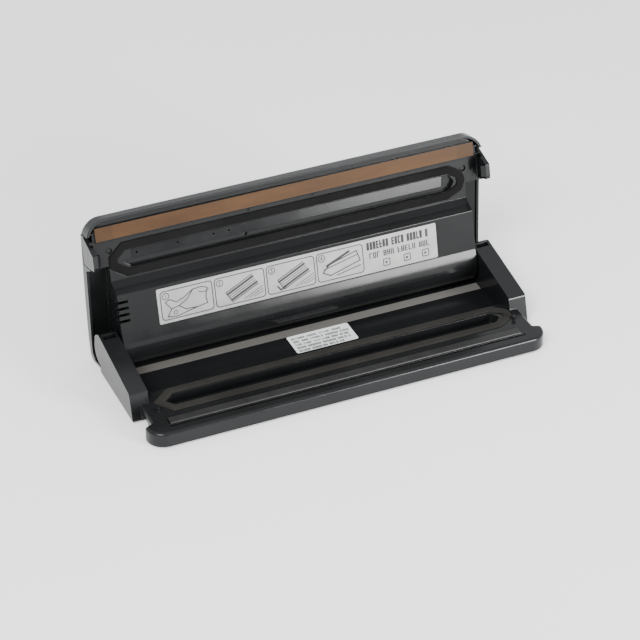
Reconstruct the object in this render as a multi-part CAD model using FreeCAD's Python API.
"""Countertop vacuum sealer: a shallow base tray with two hinge ears and a thick powered lid.

Millimetres.  Everything is first drawn with the lid shut, in a working frame with X along the
hinge, Y = 0 at the front face and Z = 0 under the base shell.  The lid's pieces are then swung
open about the hinge, and the whole machine is moved so that the origin is the middle of the
underside of its bounding box.
"""
import FreeCAD, Part
import math
import os

from FreeCAD import Vector

# ---------------------------------------------------------------- driving dimensions
BASE_HALF = 185.0          # half width of the base's front plate
EAR_OUT = 186.5            # outer face of the ears and of the lid's side walls
EAR_IN = 170.0             # inner face of the ears
BODY_HALF = 168.5          # half length of the lid's deep body, between the ears
HINGE_Y = 124.3
HINGE_Z = 19.0
OPEN_ANGLE = 103.2         # lid swing from shut to the open stop, degrees

PLATE_TOP = 13.0           # top of the base's front plate
PLATE_BACK = 61.0          # where the plate ends and the deep well starts
WELL_FLOOR = 2.4           # top of the floor of the well
FLOOR_BACK = 122.0
BASE_CORNER_R = 15.5
BASE_LIP_R = 2.6           # rounding of the front plate's upper edge
NOTCH_IN = 178.5           # side of the plate in the latch notches
NOTCH_FRONT = 19.5

EAR_FOOT_Y = 43.9          # front of an ear at its foot
EAR_NOSE = (51.0, 24.2)    # top of an ear's front face
EAR_RISE = 0.183           # slope of an ear's top edge
EAR_HUB_R = 11.8           # ear's round end about the hinge

SHUT_GAP = 0.4             # air left between the two halves when the lid is shut
FOAM_TOP = 14.5            # top of the base's foam ring
STRIP_TOP = 14.0           # top of the base's silicone press strip
RIM_LOW = PLATE_TOP + SHUT_GAP
LID_PLATE = 16.3           # underside of the lid's sealing plate
LID_PANEL = 4.9            # underside of the lid's deep panel
CREASE_Y = 107.5           # where the panel turns down into the round bulge
LID_BACK = 140.85          # back of the lid; when open it reaches down to the table
LID_CORNER_R = 19.0
BARREL_R = 15.9            # lid's round back, about the hinge
COVER_WALL = 2.4
PANEL_WALL = 2.2

SEAL_Y = 16.9              # middle of the sealing line, on both halves
RING_FRONT = 28.5          # foam rings, front and back edges
RING_BACK = 59.5
RING_BAND = 7.0
RING_TIP = 168.0           # foam rings, half length

LATCH_PIVOT = (182.3, 20.5)    # X and Z of the right latch's pin
LATCH_PIN_R = 1.1
LATCH_FRONT = 17.6
LATCH_BACK = 45.2
SWITCH_X = 167.0           # switch plungers and the pegs that push them
SWITCH_Y = 33.8
GLAND_Y = 102.0            # cord gland in the right ear
GLAND_Z = 12.0

PIN_R = 2.5                # hinge pins
RUN_FIT = 0.05             # radial clearance of a running fit
FOOT_DROP = 2.0            # how far the rubber feet stand below the base

CONTROLS_START = (88.0, 43.72)   # front edge of the control strip, Y and Z on the lid's top
CONTROLS_END = (116.0, 47.62)    # a point further back on the same slope
CONTROLS_HALF = 66.0
CONTROLS_DEPTH = 24.0
BUTTON_X = {"vacuum_seal": -38.0, "seal": 0.0, "stop": 38.0}
BUTTON_SIZE = (24.0, 11.0)
BUTTON_FRONT = 5.0         # from the strip's front edge to the buttons
BUTTON_GAP = 0.35
LIGHT_V = 20.5             # from the strip's front edge to the lights

BASE_SCREWS = [(x, 27.0) for x in (-150.0, -50.0, 50.0, 150.0)]
LID_SCREW_X = (-76.0, 56.5, 128.0)
LID_SCREW_Y = 90.0
TAPE_BOTTOM = STRIP_TOP + SHUT_GAP
WIRE_BOTTOM = 14.62
BAR_BOTTOM = 14.85         # heater bar, just behind the flat wire

PUMP_Y = 99.0              # axis of the motor and pump
PUMP_Z = 21.2
CRANK = 2.0                # throw of the eccentric
HOSE_X = -42.0             # middle of the suction hose
HOSE_Z = 30.0


# ---------------------------------------------------------------- helpers
def rounded_wire(points, to_vector):
    """Closed wire through corner points (a, b, radius), with each corner rounded to its radius."""
    corners = [(p[0], p[1], p[2] if len(p) > 2 else 0.0) for p in points]
    count = len(corners)
    cuts = []
    for i, (a, b, radius) in enumerate(corners):
        here = Vector(a, b, 0)
        before = Vector(*corners[i - 1][:2], 0) - here
        after = Vector(*corners[(i + 1) % count][:2], 0) - here
        before.normalize()
        after.normalize()
        if radius == 0.0:
            cuts.append((here, here, here))
            continue
        half = before.getAngle(after) / 2.0
        back = radius / math.tan(half)
        middle = before + after
        middle.normalize()
        apex = here + middle * (radius / math.sin(half) - radius)
        cuts.append((here + before * back, apex, here + after * back))
    edges = []
    for i, (start, apex, end) in enumerate(cuts):
        if (end - start).Length > 1e-6:
            edges.append(Part.Arc(to_vector(start), to_vector(apex), to_vector(end)).toShape())
        following = cuts[(i + 1) % count][0]
        if (following - end).Length > 1e-6:
            edges.append(Part.LineSegment(to_vector(end), to_vector(following)).toShape())
    return Part.Wire(edges)


def profile(points, x0, x1):
    """Solid between x0 and x1 with a side outline of (y, z, radius) corners."""
    wire = rounded_wire(points, lambda p: Vector(x0, p.x, p.y))
    return Part.Face(wire).extrude(Vector(x1 - x0, 0, 0))


def plan(points, z0, z1):
    """Solid between z0 and z1 with a plan outline of (x, y, radius) corners."""
    wire = rounded_wire(points, lambda p: Vector(p.x, p.y, z0))
    return Part.Face(wire).extrude(Vector(0, 0, z1 - z0))


def box(x0, x1, y0, y1, z0, z1):
    return Part.makeBox(x1 - x0, y1 - y0, z1 - z0, Vector(x0, y0, z0))


def rod(start, end, radius):
    """Round bar between two points."""
    axis = Vector(*end) - Vector(*start)
    return Part.makeCylinder(radius, axis.Length, Vector(*start), axis)


def mirrored(shape):
    """The same piece on the other side, left for right."""
    return shape.mirror(Vector(0, 0, 0), Vector(1, 0, 0))


def pair(shape):
    """A right-hand piece and its left-hand twin in one shape."""
    return [shape, mirrored(shape)]


def joined(shapes):
    return shapes[0].fuse(shapes[1:]).removeSplitter()


def swung(shape):
    """A lid piece turned from shut to open about the hinge."""
    turned = shape.copy()
    turned.rotate(Vector(0, HINGE_Y, HINGE_Z), Vector(1, 0, 0), -OPEN_ANGLE)
    return turned


def ear_top(y):
    """Height of an ear's top edge."""
    return EAR_NOSE[1] + EAR_RISE * (y - EAR_NOSE[0])


# ---------------------------------------------------------------- outlines shared by mating pieces
BASE_RING = [(-155.5, RING_FRONT, 2), (-167.5, 45.0, 1.5), (-150.0, RING_BACK, 2),
             (154.0, RING_BACK, 9), (RING_TIP, 50.0, 7), (RING_TIP, 38.0, 7), (152.0, RING_FRONT, 9)]
LID_RING = [(-155.5, RING_FRONT, 2), (-RING_TIP, 39.5, 2), (-RING_TIP, 50.0, 2), (-154.0, RING_BACK, 2),
            (150.0, RING_BACK, 4), (164.5, 53.0, 5), (RING_TIP, 44.5, 5), (165.5, 36.0, 5),
            (153.0, RING_FRONT, 3)]


def ring_solid(outline, z0, z1, grow=0.0, band=RING_BAND):
    """Foam ring, or its groove when grown, between two heights."""
    outer = Part.Face(rounded_wire(outline, lambda p: Vector(p.x, p.y, z0)))
    inner = outer.makeOffset2D(-(band + grow))
    if grow:
        outer = outer.makeOffset2D(grow)
    return outer.cut(inner).extrude(Vector(0, 0, z1 - z0))


COVER_OUT = [(3.0, RIM_LOW), (3.0, 27.0, 6), (45.0, 35.6, 150), (85.0, 43.2, 200), (118.0, 47.8, 150),
             (LID_BACK, 48.4, 9), (LID_BACK, 22.3)]
COVER_IN = [(5.4, 0.0), (5.4, 24.9, 4), (45.4, 33.2, 150), (85.3, 40.8, 200), (118.2, 45.4, 150),
            (LID_BACK - COVER_WALL, 46.0, 6.6), (LID_BACK - COVER_WALL, 0.0)]


# ---------------------------------------------------------------- base
def ear(side_in, side_out):
    """One ear as a solid block: leaning nose, rising top edge and a round end about the hinge."""
    top_back = 125.0
    outline = [(EAR_FOOT_Y, 0.0), (*EAR_NOSE, 3.5), (top_back, ear_top(top_back), 5), (134.4, 31.5, 6),
               (HINGE_Y + EAR_HUB_R, HINGE_Z + 2.0), (HINGE_Y + EAR_HUB_R, HINGE_Z),
               (122.9, HINGE_Z), (122.9, 0.0)]
    body = profile(outline, side_in, side_out)
    hub = rod((side_in, HINGE_Y, HINGE_Z), (side_out, HINGE_Y, HINGE_Z), EAR_HUB_R)
    return body.fuse(hub).removeSplitter()


def base_shell():
    """Front plate with its grooves, the deep well behind it and the two hollow ears."""
    notch = [(BASE_HALF, 17.8, 1.5), (NOTCH_IN, NOTCH_FRONT + 0.8, 1.0), (NOTCH_IN, 56.0)]
    outline = [(-BASE_HALF, 0.0, BASE_CORNER_R), (BASE_HALF, 0.0, BASE_CORNER_R)] + notch
    outline += [(-x, y, *r) for x, y, *r in reversed(notch)]
    plate = plan(outline, 0.0, PLATE_TOP)
    lip = [e for e in plate.Edges
           if e.BoundBox.ZMin > PLATE_TOP - 0.01 and e.BoundBox.YMax < NOTCH_FRONT - 3.0]
    plate = plate.makeFillet(BASE_LIP_R, lip)
    well = profile([(50.0, 0.0), (50.0, PLATE_TOP), (PLATE_BACK, PLATE_TOP, 1.2), (64.6, WELL_FLOOR, 2),
                    (102.6, WELL_FLOOR), (112.0, 2.75), (FLOOR_BACK, 2.75), (FLOOR_BACK, 0.0)],
                   -EAR_IN - 1.0, EAR_IN + 1.0)
    ears = pair(ear(EAR_IN, EAR_OUT))
    shell = joined([plate, well] + ears)

    hollow = box(-172.0, 172.0, 2.6, 58.0, -1.0, 8.0)
    trough_walls = box(-158.5, 159.5, 34.5, 54.0, 1.0, 9.0)
    strip_seat = box(-166.0, 166.0, SEAL_Y - 6.5, SEAL_Y + 6.5, 6.6, 9.0)
    shell = shell.cut(hollow.cut(trough_walls).cut(strip_seat))
    for room in pair(profile([(50.0, -1.0), (55.5, 22.0, 3), (110.0, 32.0, 3), (110.0, -1.0)],
                             EAR_IN + COVER_WALL, EAR_OUT - COVER_WALL)):
        shell = shell.cut(room)

    trough = plan([(-157.0, 44.5, 1), (-149.5, 36.8, 2), (151.0, 36.8, 5), (157.5, 43.0, 3),
                   (152.0, 51.2, 5), (-149.5, 51.2, 2)], 3.0, 20.0)
    groove = ring_solid(BASE_RING, 11.0, 20.0, grow=0.3)
    strip_slot = box(-164.6, 164.6, SEAL_Y - 4.6, SEAL_Y + 4.6, 8.6, 20.0)
    shadow_slot = box(-166.0, 166.0, SEAL_Y - 8.0, SEAL_Y - 5.6, 11.4, 20.0)
    for cutter in (trough, groove, strip_slot, shadow_slot):
        shell = shell.cut(cutter)

    for catch in pair(box(174.8, NOTCH_IN + 0.1, 28.6, 43.4, -1.0, 7.2)):
        shell = shell.cut(catch)
    for slot in pair(box(EAR_IN + 2.0, EAR_OUT - 2.6, 117.6, 122.8, ear_top(120.0) - 6.0, 60.0)):
        shell = shell.cut(slot)
    for bore in pair(rod((EAR_IN - 1, HINGE_Y, HINGE_Z), (184.0, HINGE_Y, HINGE_Z), PIN_R)):
        shell = shell.cut(bore)
    shell = shell.cut(rod((EAR_OUT - 1.2, GLAND_Y, GLAND_Z), (190.0, GLAND_Y, GLAND_Z), 4.9))
    shell = shell.cut(rod((180.0, GLAND_Y, GLAND_Z), (190.0, GLAND_Y, GLAND_Z), 3.65))
    pegs = pair(rod((SWITCH_X, SWITCH_Y, 10.0), (SWITCH_X, SWITCH_Y, 17.1), 1.7))
    bosses = [rod((x, y, 3.0), (x, y, 9.0), 3.4) for x, y in BASE_SCREWS]
    shell = joined([shell] + pegs + bosses)
    for x, y in BASE_SCREWS:
        shell = shell.cut(rod((x, y, 1.0), (x, y, 7.6), 1.4))
    return shell


def base_bottom_cover():
    """Flat plate that closes the hollow under the front plate."""
    cover = plan([(-171.6, 3.0, 3), (171.6, 3.0, 3), (171.6, 57.6, 2), (-171.6, 57.6, 2)], 0.0, 0.9)
    cover = cover.fuse(plan([(-171.6, 3.0, 3), (171.6, 3.0, 3), (171.6, 34.0), (-171.6, 34.0)], 0.0, 3.0))
    for x, y in BASE_SCREWS:
        cover = cover.cut(rod((x, y, -1.0), (x, y, 1.9), 3.0))
        cover = cover.cut(rod((x, y, 0.0), (x, y, 4.0), 1.6))
    return cover.removeSplitter()


def ear_cover():
    """Snap-in plate that closes the right ear from below."""
    return box(EAR_IN + COVER_WALL + 0.2, EAR_OUT - COVER_WALL - 0.2, 51.0, 109.6, 0.0, 1.8)


def base_screws():
    screws = []
    for x, y in BASE_SCREWS:
        head = rod((x, y, 0.4), (x, y, 1.9), 2.7)
        screws.append(head.fuse(rod((x, y, 1.9), (x, y, 7.2), 1.4)))
    return screws


def base_foot(x, y):
    """Rubber pad under a corner, with a softened rim."""
    pad = rod((x, y, -FOOT_DROP), (x, y, 0.0), 6.5)
    rim = [e for e in pad.Edges if e.BoundBox.ZMax < -FOOT_DROP + 0.01]
    return pad.makeFillet(0.6, rim)


def press_strip():
    """Silicone bar that the hot wire presses the bag against."""
    half = 4.3
    outline = [(SEAL_Y - half, 8.8), (SEAL_Y - half, STRIP_TOP, 1.0), (SEAL_Y + half, STRIP_TOP, 1.0),
               (SEAL_Y + half, 8.8)]
    return profile(outline, -163.8, 163.8)


def base_gasket():
    return ring_solid(BASE_RING, 11.0, FOAM_TOP)


def cord_gland():
    """Rubber bush in the right ear's outer side; the mains cord would pass through it."""
    flange = rod((EAR_OUT - 1.2, GLAND_Y, GLAND_Z), (EAR_OUT, GLAND_Y, GLAND_Z), 4.8)
    neck = rod((181.0, GLAND_Y, GLAND_Z), (EAR_OUT - 1.2, GLAND_Y, GLAND_Z), 3.6)
    bore = rod((180.0, GLAND_Y, GLAND_Z), (190.0, GLAND_Y, GLAND_Z), 2.4)
    return joined([flange, neck]).cut(bore)


def info_sticker():
    return plan([(-21.5, 76.4, 1), (36.9, 76.4, 1), (36.9, 102.4, 1), (-21.5, 102.4, 1)],
                WELL_FLOOR, WELL_FLOOR + 0.15)


def hinge_pin():
    """Right hinge pin: fixed in the ear, turning in the end of the lid's body."""
    return rod((160.5, HINGE_Y, HINGE_Z), (184.0, HINGE_Y, HINGE_Z), PIN_R)


# ---------------------------------------------------------------- lid shells
def lid_outline(inset, z0, z1):
    """The lid's plan outline with rounded front corners, drawn in by a wall thickness."""
    half = EAR_OUT - inset
    return plan([(-half, 3.0 + inset, LID_CORNER_R - inset), (half, 3.0 + inset, LID_CORNER_R - inset),
                 (half, 150.0), (-half, 150.0)], z0, z1)


def lid_cover():
    """Outer top shell of the lid, open below, with the latch and control cut-outs."""
    shell = profile([(3.0, 0.0)] + COVER_OUT[1:-1] + [(LID_BACK, 0.0)], -EAR_OUT, EAR_OUT)
    shell = shell.common(lid_outline(0.0, -1.0, 60.0))
    rim = [e for e in shell.Edges if abs(abs(e.CenterOfMass.x) - EAR_OUT) < 0.01
           and e.CenterOfMass.z > 30.0 and e.BoundBox.YMin > 20.0]
    shell = shell.makeFillet(2.6, rim)
    inner = profile(COVER_IN, -EAR_OUT + COVER_WALL, EAR_OUT - COVER_WALL)
    shell = shell.cut(inner.common(lid_outline(COVER_WALL, -1.0, 60.0)))
    below = [(-5.0, -5.0), (-5.0, RIM_LOW), (46.9, RIM_LOW), (50.3, 25.0, 3),
             (124.6, ear_top(124.6) + 0.8, 2), (131.5, 39.2, 4), (137.0, 33.5, 2), (137.0, 22.3),
             (145.0, 22.3), (145.0, -5.0)]
    shell = shell.cut(profile(below, -200.0, 200.0))
    for gap in pair(box(180.0, 190.0, LATCH_FRONT - 0.6, LATCH_BACK + 0.6, 5.0, 29.6)):
        shell = shell.cut(gap)
    bosses = [rod((x, LID_SCREW_Y, 7.3), (x, LID_SCREW_Y, 43.2), 3.6) for x in LID_SCREW_X]
    shell = joined([shell] + bosses)
    for x in LID_SCREW_X:
        shell = shell.cut(rod((x, LID_SCREW_Y, 7.0), (x, LID_SCREW_Y, 19.0), 1.4))
    for cutter in control_cutters():
        shell = shell.cut(cutter)
    return shell


def body_outline(wall=0.0):
    """Side outline of the lid's deep body; its round back is added as a cylinder."""
    low = HINGE_Z - BARREL_R + wall
    step = [(61.5 + wall, LID_PLATE + wall), (66.0 + wall, 12.0 + wall * 0.6, 9),
            (70.5 + wall, LID_PANEL + wall, 1.2), (CREASE_Y, LID_PANEL + wall), (114.2, low, 49)]
    return step + [(HINGE_Y, low), (HINGE_Y, 18.9), (61.5 + wall, 18.9)]


def lid_inner_panel():
    """The lid's underside: sealing plate, deep panel, round back and the two end walls."""
    plate = plan([(-180.5, 5.9, 14.5), (180.5, 5.9, 14.5), (180.5, 47.4), (-180.5, 47.4)],
                 LID_PLATE, LID_PLATE + PANEL_WALL)
    plate = plate.fuse(box(-BODY_HALF, BODY_HALF, 47.0, 62.5, LID_PLATE, LID_PLATE + PANEL_WALL))
    heater_land = box(-178.2, 178.2, 10.4, 23.9, 14.6, LID_PLATE + PANEL_WALL)
    body = profile(body_outline(), -BODY_HALF, BODY_HALF)
    barrel = rod((-BODY_HALF, HINGE_Y, HINGE_Z), (BODY_HALF, HINGE_Y, HINGE_Z), BARREL_R)
    back = box(-BODY_HALF, BODY_HALF, 137.2, HINGE_Y + BARREL_R, HINGE_Z, 22.0)
    inside = PANEL_WALL
    hollow = profile(body_outline(inside), -BODY_HALF + inside, BODY_HALF - inside)
    hollow = hollow.fuse(rod((-BODY_HALF + inside, HINGE_Y, HINGE_Z), (BODY_HALF - inside, HINGE_Y, HINGE_Z),
                             BARREL_R - inside))
    room_above = box(-BODY_HALF + inside, BODY_HALF - inside, 61.5 + inside, 137.2, 18.0, 60.0)
    trim_above = profile([(-5.0, 22.0), (-5.0, 60.0), (150.0, 60.0), (150.0, 22.0)], -190.0, 190.0)
    deep = body.fuse([barrel, back]).cut(trim_above)
    end_wall = profile([(47.0, LID_PLATE), (47.0, 32.9), (61.5, 35.6), (85.3, 40.3), (118.2, 44.9),
                        (130.0, 45.2, 3), (136.6, 36.0, 2), (136.6, HINGE_Z), (HINGE_Y, 8.0),
                        (72.0, 8.0), (63.0, LID_PLATE)],
                       BODY_HALF - inside, BODY_HALF)
    shell = joined([plate, heater_land, deep]).cut(hollow).cut(room_above)
    shell = joined([shell] + pair(end_wall) + pair(ear_recess_lining()) + [channel_walls()]
                   + latch_bay() + badges())

    for cutter in (channel_room() + suction_holes() + vents() + ring_nicks()
                   + [ring_solid(LID_RING, 10.0, LID_PLATE + 1.0, grow=0.3),
                      box(-172.4, 172.4, SEAL_Y - 3.3, SEAL_Y + 3.3, 10.0, 30.0)]):
        shell = shell.cut(cutter)
    for hole in pair(rod((SWITCH_X, SWITCH_Y, 10.0), (SWITCH_X, SWITCH_Y, 30.0), 2.7)):
        shell = shell.cut(hole)
    for bore in pair(rod((150.0, HINGE_Y, HINGE_Z), (170.0, HINGE_Y, HINGE_Z), PIN_R + RUN_FIT)):
        shell = shell.cut(bore)
    for pin_hole in pair(rod((LATCH_PIVOT[0], 20.0, LATCH_PIVOT[1]), (LATCH_PIVOT[0], 50.0, LATCH_PIVOT[1]),
                             LATCH_PIN_R)):
        shell = shell.cut(pin_hole)
    for x in LID_SCREW_X:
        shell = shell.cut(rod((x, LID_SCREW_Y, 3.0), (x, LID_SCREW_Y, 6.1), 3.2))
        shell = shell.cut(rod((x, LID_SCREW_Y, 3.0), (x, LID_SCREW_Y, 8.0), 1.7))
    return shell


def channel_room():
    """Suction channel inside the foam ring: a long slot, and a flat strip that leans into it."""
    slot = plan([(-156.0, 45.6, 1), (-149.0, 52.0, 2), (152.0, 52.0, 4), (157.5, 44.0, 3), (153.0, 37.0, 3),
                 (146.5, 37.0, 1), (145.0, 46.4), (-151.0, 45.0)], 10.0, 20.4)
    strip = profile([(36.7, 15.0), (36.7, 17.4), (46.6, 16.5), (46.6, 15.0)], -148.0, 151.0)
    strip_ends = plan([(-148.0, 36.0), (151.0, 36.0, 1), (144.5, 47.0), (-150.0, 47.0)], 10.0, 20.0)
    return [slot, strip.common(strip_ends)]


def channel_walls():
    """Raised walls behind the plate that hold the suction channel."""
    return plan([(-158.5, 43.6), (-150.0, 54.2), (153.5, 54.2), (159.8, 44.0), (154.0, 35.0),
                 (144.5, 35.0), (143.0, 43.2)], LID_PLATE, 22.4)


def suction_holes():
    """Four small holes in the flat strip beside the channel, and the hose's port in its roof."""
    port = rod((HOSE_X, 48.0, 19.0), (HOSE_X, 48.0, 24.0), 2.0)
    return [port] + [rod((x, 40.6, 10.0), (x, 40.6, 30.0), 0.9) for x in (-142.5, -105.3, -72.1, -57.9)]


def ear_recess_lining():
    """Right-hand lining of the recess that takes an ear, a little above the ear's edge."""
    outline = [(47.6, 16.4), (49.6, 26.6), (124.6, 39.9), (136.9, 41.2), (136.9, 42.8), (124.4, 41.5),
               (48.3, 28.1), (46.1, 16.4)]
    return profile(outline, BODY_HALF - PANEL_WALL, EAR_OUT - COVER_WALL - 0.2)


def latch_bay():
    """Walls around each latch, with the two lugs that carry its pin."""
    walls = []
    walls += pair(profile([(15.0, LID_PLATE), (15.0, 26.6), (47.4, 33.3), (47.4, LID_PLATE)], 176.5, 178.6))
    walls += pair(box(176.5, 182.3, 15.0, 16.6, LID_PLATE, 26.4))
    walls += pair(box(166.5, 183.6, 45.8, 47.4, LID_PLATE, 22.6))
    walls += pair(box(178.0, 183.6, 22.6, 25.6, LID_PLATE, 22.6))
    return walls


def badges():
    """Small raised rectangles beside the ring's ends."""
    return pair(box(176.4, 180.2, 35.5, 42.5, LID_PLATE - 0.3, LID_PLATE + 0.5))


def vents():
    """Four cooling slots that wrap the left end of the deep body."""
    return [box(-BODY_HALF - 1.0, -159.3, y - 1.1, y + 1.1, 3.0, 11.0) for y in (77.9, 83.7, 89.5, 95.3)]


def ring_nicks():
    """Three small nicks in front of the foam ring."""
    return [box(x - 1.2, x + 1.2, 24.8, 26.6, 15.0, LID_PLATE + 0.7) for x in (-38.5, 21.8, 86.7)]


def lid_screws():
    screws = []
    for x in LID_SCREW_X:
        head = rod((x, LID_SCREW_Y, 5.2), (x, LID_SCREW_Y, 6.1), 3.0)
        screws.append(head.fuse(rod((x, LID_SCREW_Y, 6.1), (x, LID_SCREW_Y, 18.6), 1.4)))
    return screws


def instruction_label():
    return plan([(-133.5, 73.8, 1.5), (131.3, 73.8, 1.5), (131.3, 106.3, 1.5), (-133.5, 106.3, 1.5)],
                LID_PANEL - 0.15, LID_PANEL)


def lid_gasket():
    return ring_solid(LID_RING, FOAM_TOP + SHUT_GAP, LID_PLATE + 1.0)


# ---------------------------------------------------------------- heater
def heater_bar():
    """Heat-proof carrier behind the wire."""
    return box(-172.0, 172.0, SEAL_Y - 3.0, SEAL_Y + 3.0, BAR_BOTTOM, 20.6)


def heating_wire():
    """Flat resistance ribbon with a bent-up tail at each end."""
    ribbon = box(-172.3, 172.3, SEAL_Y - 1.3, SEAL_Y + 1.3, WIRE_BOTTOM, BAR_BOTTOM)
    tails = pair(box(172.0, 172.3, SEAL_Y - 1.3, SEAL_Y + 1.3, WIRE_BOTTOM, 22.0))
    return joined([ribbon] + tails)


def ptfe_tape():
    """Non-stick tape over the hot wire."""
    return box(-177.8, 177.8, SEAL_Y - 6.1, SEAL_Y + 6.2, TAPE_BOTTOM, 14.6)


def heater_clamp():
    """Clamp that holds the right end of the bar."""
    return box(163.0, 171.0, SEAL_Y - 5.5, SEAL_Y + 5.5, 20.6, 22.2)


# ---------------------------------------------------------------- pump and electrics
def pump_motor():
    can = rod((-18.0, PUMP_Y, PUMP_Z), (30.0, PUMP_Y, PUMP_Z), 12.5)
    return can.fuse(rod((30.0, PUMP_Y, PUMP_Z), (33.0, PUMP_Y, PUMP_Z), 5.0)).removeSplitter()


def pump_head():
    """Diaphragm pump housing with an open pocket for the eccentric."""
    head = plan([(-52.0, 84.0, 3), (-18.2, 84.0, 3), (-18.2, 114.0, 3), (-52.0, 114.0, 3)], 7.4, 34.0)
    head = head.cut(rod((-34.0, PUMP_Y, PUMP_Z), (-10.0, PUMP_Y, PUMP_Z), 9.5))
    return head.fuse(rod((HOSE_X, 80.0, HOSE_Z), (HOSE_X, 85.0, HOSE_Z), 2.4)).removeSplitter()


def pump_eccentric():
    """Motor shaft with the off-centre hub that drives the diaphragm; it hangs lowest when open."""
    shaft = rod((-30.0, PUMP_Y, PUMP_Z), (-18.3, PUMP_Y, PUMP_Z), 1.5)
    lean = math.radians(OPEN_ANGLE)
    y = PUMP_Y + CRANK * math.sin(lean)
    z = PUMP_Z - CRANK * math.cos(lean)
    return shaft.fuse(rod((-29.0, y, z), (-22.0, y, z), 5.5)).removeSplitter()


def pump_bracket():
    """Steel strap around the motor, standing on the panel."""
    foot = box(2.0, 12.0, 80.0, 118.0, LID_PANEL + PANEL_WALL + 0.1, LID_PANEL + PANEL_WALL + 1.3)
    strap = rod((2.0, PUMP_Y, PUMP_Z), (12.0, PUMP_Y, PUMP_Z), 13.6)
    strap = strap.cut(rod((0.0, PUMP_Y, PUMP_Z), (14.0, PUMP_Y, PUMP_Z), 12.6))
    return joined([foot, strap])


def suction_hose():
    """Soft tube from the pump to the suction channel."""
    start = Vector(HOSE_X, 79.8, HOSE_Z)
    bend_r = 7.4
    bend_start = Vector(HOSE_X, 48.0 + bend_r, HOSE_Z)
    diagonal = bend_r * (1.0 - math.sqrt(0.5))
    bend_middle = Vector(HOSE_X, 48.0 + diagonal, HOSE_Z - diagonal)
    bend_end = Vector(HOSE_X, 48.0, HOSE_Z - bend_r)
    path = Part.Wire([Part.LineSegment(start, bend_start).toShape(),
                      Part.Arc(bend_start, bend_middle, bend_end).toShape()])
    ring = Part.Wire(Part.makeCircle(2.6, start, Vector(0, 1, 0)))
    return path.makePipeShell([ring], True, False)


def release_valve():
    """Solenoid valve that lets air back in."""
    body = box(-100.0, -80.0, 66.5, 82.0, 19.0, 31.0)
    return body.fuse(rod((-90.0, 82.0, 25.0), (-90.0, 88.0, 25.0), 2.4)).removeSplitter()


def vacuum_switch():
    body = rod((90.0, 49.0, 22.5), (90.0, 49.0, 29.0), 7.0)
    return body.fuse(box(86.0, 94.0, 47.0, 51.0, 29.0, 31.0)).removeSplitter()


def transformer():
    core = box(68.0, 108.0, 80.0, 116.0, 7.4, 35.0)
    return core.fuse(box(63.0, 113.0, 86.0, 110.0, 11.0, 31.0)).removeSplitter()


def circuit_board():
    return box(-160.0, -104.0, 76.0, 117.0, 10.0, 11.6)


def board_parts():
    """Main parts standing on the board."""
    return {"board_capacitor": rod((-150.0, 108.0, 11.6), (-150.0, 108.0, 29.0), 6.0),
            "board_relay": box(-140.0, -121.0, 99.0, 114.0, 11.6, 27.0),
            "board_heat_sink": box(-156.0, -126.0, 90.0, 92.5, 11.6, 30.0),
            "board_chip": box(-122.0, -110.0, 80.0, 88.0, 11.6, 14.0)}


# ---------------------------------------------------------------- controls
def controls_frame(shape):
    """Move a piece drawn flat (x, v, w) onto the sloping top of the lid."""
    run = CONTROLS_END[0] - CONTROLS_START[0]
    rise = CONTROLS_END[1] - CONTROLS_START[1]
    moved = shape.copy()
    moved.rotate(Vector(0, 0, 0), Vector(1, 0, 0), math.degrees(math.atan2(rise, run)))
    moved.translate(Vector(0, *CONTROLS_START))
    return moved


def fascia_plan(grow, w0, w1):
    """Rounded rectangle of the control strip."""
    half = CONTROLS_HALF + grow
    return plan([(-half, -grow, 5), (half, -grow, 5), (half, CONTROLS_DEPTH + grow, 5),
                 (-half, CONTROLS_DEPTH + grow, 5)], w0, w1)


def control_holes():
    """Holes for the buttons and lights."""
    holes = []
    for x in BUTTON_X.values():
        holes.append(button_plug(x, BUTTON_GAP, -8.0, 4.0))
        holes.append(rod((x, LIGHT_V, -8.0), (x, LIGHT_V, 4.0), 1.6))
    return holes


def control_cutters():
    """Pocket for the fascia, with the holes below it."""
    return [controls_frame(cutter) for cutter in [fascia_plan(0.2, -1.0, 8.0)] + control_holes()]


def button_plug(x, grow, w0, w1):
    """Rounded button shape, grown all round by a margin."""
    half_x = BUTTON_SIZE[0] / 2.0 + grow
    v0 = BUTTON_FRONT - grow
    v1 = BUTTON_FRONT + BUTTON_SIZE[1] + grow
    corner = 3.0 + grow
    return plan([(x - half_x, v0, corner), (x + half_x, v0, corner), (x + half_x, v1, corner),
                 (x - half_x, v1, corner)], w0, w1)


def control_fascia():
    face = fascia_plan(0.0, -1.0, 0.1)
    for hole in control_holes():
        face = face.cut(hole)
    return controls_frame(face)


def button(x):
    """Push button: cap, hidden flange and stem."""
    cap = button_plug(x, 0.0, -3.4, 0.9)
    rim = [e for e in cap.Edges if e.BoundBox.ZMin > 0.89]
    cap = cap.makeFillet(0.5, rim)
    flange = button_plug(x, 1.4, -4.4, -3.4)
    middle = BUTTON_FRONT + BUTTON_SIZE[1] / 2.0
    stem = rod((x, middle, -6.0), (x, middle, -4.4), 1.5)
    return controls_frame(joined([cap, flange, stem]))


def light_lens(x):
    return controls_frame(rod((x, LIGHT_V, -3.0), (x, LIGHT_V, 0.3), 1.5))


def button_board():
    """Board under the buttons, with a key switch below each."""
    board = box(-52.0, 52.0, 2.0, 22.0, -9.4, -8.2)
    keys = [box(x - 3.0, x + 3.0, 7.5, 13.5, -8.2, -7.1) for x in BUTTON_X.values()]
    return controls_frame(joined([board] + keys))


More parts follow.
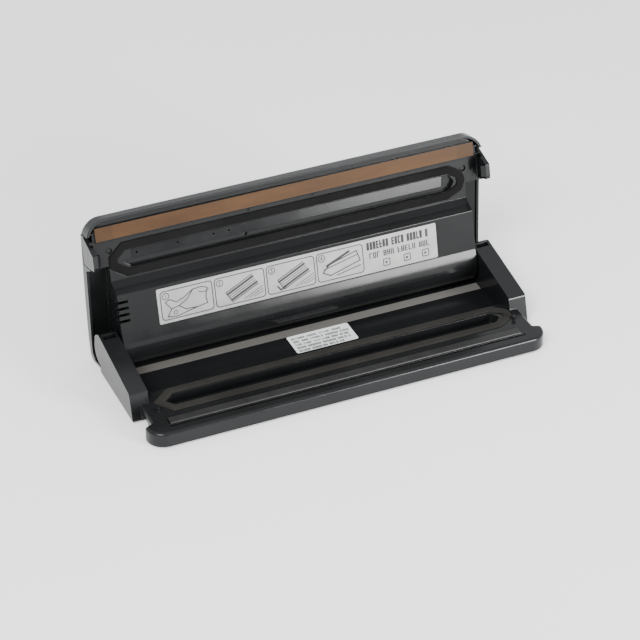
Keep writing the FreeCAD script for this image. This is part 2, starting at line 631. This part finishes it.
# ---------------------------------------------------------------- latches and lid switches
def latch_lever():
    """Right latch: flush finger pad above the pin, tapered tongue with a tooth below it."""
    inner, outer = 182.2, EAR_OUT - 0.1
    pad = box(inner, outer, LATCH_FRONT, LATCH_BACK, 22.0, 29.0)
    tongue = profile([(LATCH_FRONT, 24.0), (LATCH_BACK, 24.0), (LATCH_BACK, 14.0), (43.4, 1.6, 1),
                      (40.5, 0.6, 1), (29.5, 0.6, 1)], inner, outer)
    tooth_corners = [(182.3, 5.4), (178.9, 5.4), (178.9, 3.6), (182.3, 0.7), (182.3, 5.4)]
    tooth_wire = Part.makePolygon([Vector(x, 30.5, z) for x, z in tooth_corners])
    tooth = Part.Face(tooth_wire).extrude(Vector(0, 10.5, 0))
    hub = rod((LATCH_PIVOT[0], 26.2, LATCH_PIVOT[1]), (LATCH_PIVOT[0], LATCH_BACK, LATCH_PIVOT[1]), 2.4)
    lever = joined([pad, tongue, tooth, hub])
    lug_room = box(175.0, 184.2, 22.3, 25.9, 10.0, 32.0)
    pin_hole = rod((LATCH_PIVOT[0], 15.0, LATCH_PIVOT[1]), (LATCH_PIVOT[0], 50.0, LATCH_PIVOT[1]),
                   LATCH_PIN_R + RUN_FIT)
    return lever.cut(lug_room).cut(pin_hole)


def latch_pin():
    x, z = LATCH_PIVOT
    return rod((x, 22.6, z), (x, 47.4, z), LATCH_PIN_R)


def latch_spring():
    """Folded leaf spring between its stop on the lid and the latch's finger pad."""
    outline = [(178.7, 27.6), (178.7, 23.6), (179.0, 23.6), (179.0, 27.1), (181.8, 24.3), (182.0, 24.6),
               (179.1, 27.6), (178.7, 27.6)]
    wire = Part.makePolygon([Vector(x, 32.0, z) for x, z in outline])
    return Part.Face(wire).extrude(Vector(0, 7.0, 0))


def switch_plunger():
    pin = rod((SWITCH_X, SWITCH_Y, 17.5), (SWITCH_X, SWITCH_Y, 22.0), 2.2)
    return pin.fuse(rod((SWITCH_X, SWITCH_Y, 18.7), (SWITCH_X, SWITCH_Y, 19.7), 3.4)).removeSplitter()


def microswitch():
    return box(SWITCH_X - 10.0, SWITCH_X + 3.0, SWITCH_Y - 3.0, SWITCH_Y + 3.0, 23.8, 28.8)


# ---------------------------------------------------------------- assembly and export
def base_parts():
    shapes = {
        "base_shell": base_shell(),
        "base_bottom_cover": base_bottom_cover(),
        "base_screws": Part.makeCompound(base_screws()),
        "press_strip": press_strip(),
        "base_gasket": base_gasket(),
        "cord_gland": cord_gland(),
        "info_sticker": info_sticker(),
    }
    for side, x in (("left", -140.0), ("right", 140.0)):
        shapes["base_foot_front_" + side] = base_foot(x, 14.0)
        shapes["base_foot_back_" + side] = base_foot(x, 116.5)
    for name, make in (("ear_cover", ear_cover), ("hinge_pin", hinge_pin)):
        shapes[name + "_right"] = make()
        shapes[name + "_left"] = mirrored(shapes[name + "_right"])
    return shapes


def lid_parts():
    """The lid's pieces, in the shut pose."""
    shapes = {
        "lid_cover": lid_cover(),
        "lid_inner_panel": lid_inner_panel(),
        "lid_screws": Part.makeCompound(lid_screws()),
        "instruction_label": instruction_label(),
        "lid_gasket": lid_gasket(),
        "heater_bar": heater_bar(),
        "heating_wire": heating_wire(),
        "ptfe_tape": ptfe_tape(),
        "pump_motor": pump_motor(),
        "pump_head": pump_head(),
        "pump_eccentric": pump_eccentric(),
        "pump_bracket": pump_bracket(),
        "suction_hose": suction_hose(),
        "release_valve": release_valve(),
        "vacuum_switch": vacuum_switch(),
        "transformer": transformer(),
        "circuit_board": circuit_board(),
        "control_fascia": control_fascia(),
        "button_board": button_board(),
    }
    shapes.update(board_parts())
    for name, x in BUTTON_X.items():
        shapes["button_" + name] = button(x)
        shapes["light_" + name] = light_lens(x)
    for name, make in (("latch_lever", latch_lever), ("latch_pin", latch_pin),
                       ("latch_spring", latch_spring), ("switch_plunger", switch_plunger),
                       ("microswitch", microswitch), ("heater_clamp", heater_clamp)):
        shapes[name + "_right"] = make()
        shapes[name + "_left"] = mirrored(shapes[name + "_right"])
    return shapes


def main():
    os.makedirs("parts", exist_ok=True)
    shapes = base_parts()
    for name, shape in lid_parts().items():
        shapes[name] = swung(shape)
    bounds = Part.makeCompound(list(shapes.values())).optimalBoundingBox(False, False)
    shift = Vector(-bounds.Center.x, -bounds.Center.y, -bounds.ZMin)
    for name, shape in shapes.items():
        shape.translate(shift)
        shape.exportStep("parts/" + name + ".step")


main()
